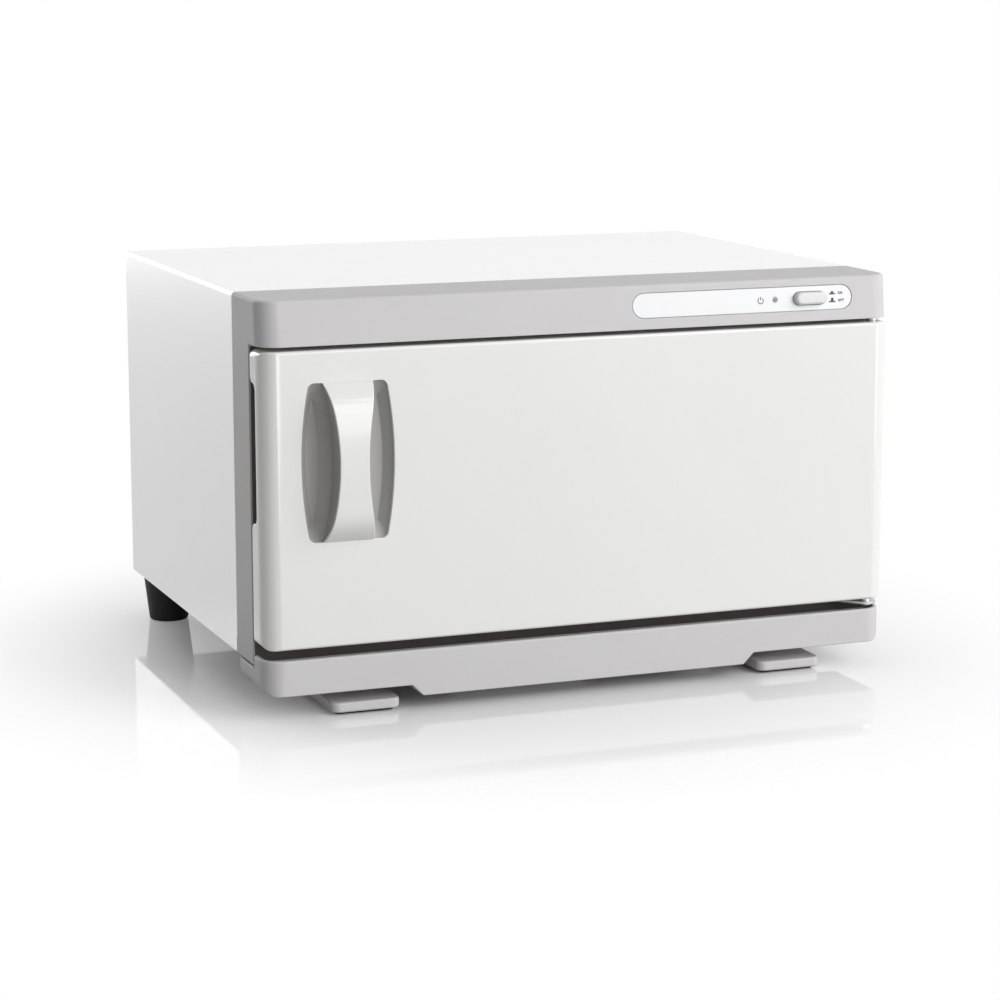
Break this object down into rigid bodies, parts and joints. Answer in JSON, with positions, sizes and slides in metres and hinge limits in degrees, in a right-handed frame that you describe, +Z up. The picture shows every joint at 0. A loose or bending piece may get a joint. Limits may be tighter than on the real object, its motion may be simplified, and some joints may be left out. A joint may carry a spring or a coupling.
{
  "type": "towel warmer",
  "caption": "Countertop towel warmer: steel cabinet with a heated chamber and wire rack, a side-hung door with a bowed grip, a push switch in the top bar and a slide-out drip tray.",
  "frame": {"origin": "on the ground under the middle of the object's bounding box", "axes": "+X along the width, towards the hinge side; +Y from the door to the back; +Z up"},
  "size_m": [0.345, 0.2794, 0.21],
  "materials": {
    "white_steel": "smooth gloss powder coat",
    "zinc_steel": "zinc plated",
    "frame_plastic": "satin moulded",
    "door_plastic": "glossy moulded",
    "surround_plastic": "matt moulded, dark taupe",
    "cup_plastic": "fine matt grain",
    "plate_white": "satin printed sheet",
    "button_plastic": "satin moulded",
    "lamp_lens": "clear tinted, unlit",
    "board_green": "solder mask",
    "black_plastic": "moulded",
    "grey_plastic": "moulded",
    "ivory_plastic": "moulded",
    "bare_aluminium": "mill finish",
    "rack_wire": "bright plated",
    "heater_silicone": "smooth silicone",
    "fuse_metal": "plain",
    "wool": "fibrous",
    "sleeve": "woven glass sleeve",
    "gasket_silicone": "soft, matt",
    "black_rubber": "matt"
  },
  "bodies": {
    "cabinet": {"outer_shell": "white_steel", "base_pan": "zinc_steel", "back_panel": "white_steel", "cord_gland": "black_rubber", "front_frame": "frame_plastic", "mouth_surround": "surround_plastic", "control_plate": "plate_white", "power_lamp": "lamp_lens", "lamp_board": "board_green", "push_switch": "black_plastic", "chamber_liner": "bare_aluminium", "wire_rack": "rack_wire", "heater_mat": "heater_silicone", "thermostat": "black_plastic", "thermal_fuse": "fuse_metal", "chamber_insulation": "wool", "rear_insulation": "wool", "chamber_posts": "grey_plastic", "terminal_block": "ivory_plastic", "wiring_harness": "sleeve", "upper_hinge_pin": "zinc_steel", "lower_hinge_plate": "zinc_steel", "lower_hinge_pin": "zinc_steel", "magnet_catch": "grey_plastic", "tray_guides": "grey_plastic", "front_foot_left": "frame_plastic", "front_foot_right": "frame_plastic", "front_foot_pads": "black_rubber", "rear_foot_left": "black_rubber", "rear_foot_right": "black_rubber", "back_screws": "zinc_steel", "base_screws": "zinc_steel", "hinge_screws": "zinc_steel", "foot_screws": "zinc_steel"},
    "door": {"door_shell": "door_plastic", "handle_cup": "cup_plastic", "door_liner": "door_plastic", "door_insulation": "wool", "door_gasket": "gasket_silicone", "strike_plate": "zinc_steel", "hinge_bushes": "ivory_plastic", "door_screws": "zinc_steel"},
    "button": {"power_button": "button_plastic"},
    "tray": {"drip_tray": "frame_plastic"}
  },
  "joints": [
    {"name": "door_hinge", "type": "hinge", "parent": "cabinet", "child": "door", "pos_m": [0.165, -0.12015, 0.1111], "axis": [0, 0, 1], "range_deg": [0, 110]},
    {"name": "button_press", "type": "slide", "parent": "cabinet", "child": "button", "axis": [0, 0.9934, -0.1143], "range_m": [0, 0.003], "stiffness_N_per_m": 400},
    {"name": "tray_slide", "type": "slide", "parent": "cabinet", "child": "tray", "axis": [0, -1, 0], "range_m": [0, 0.12]}
  ]
}
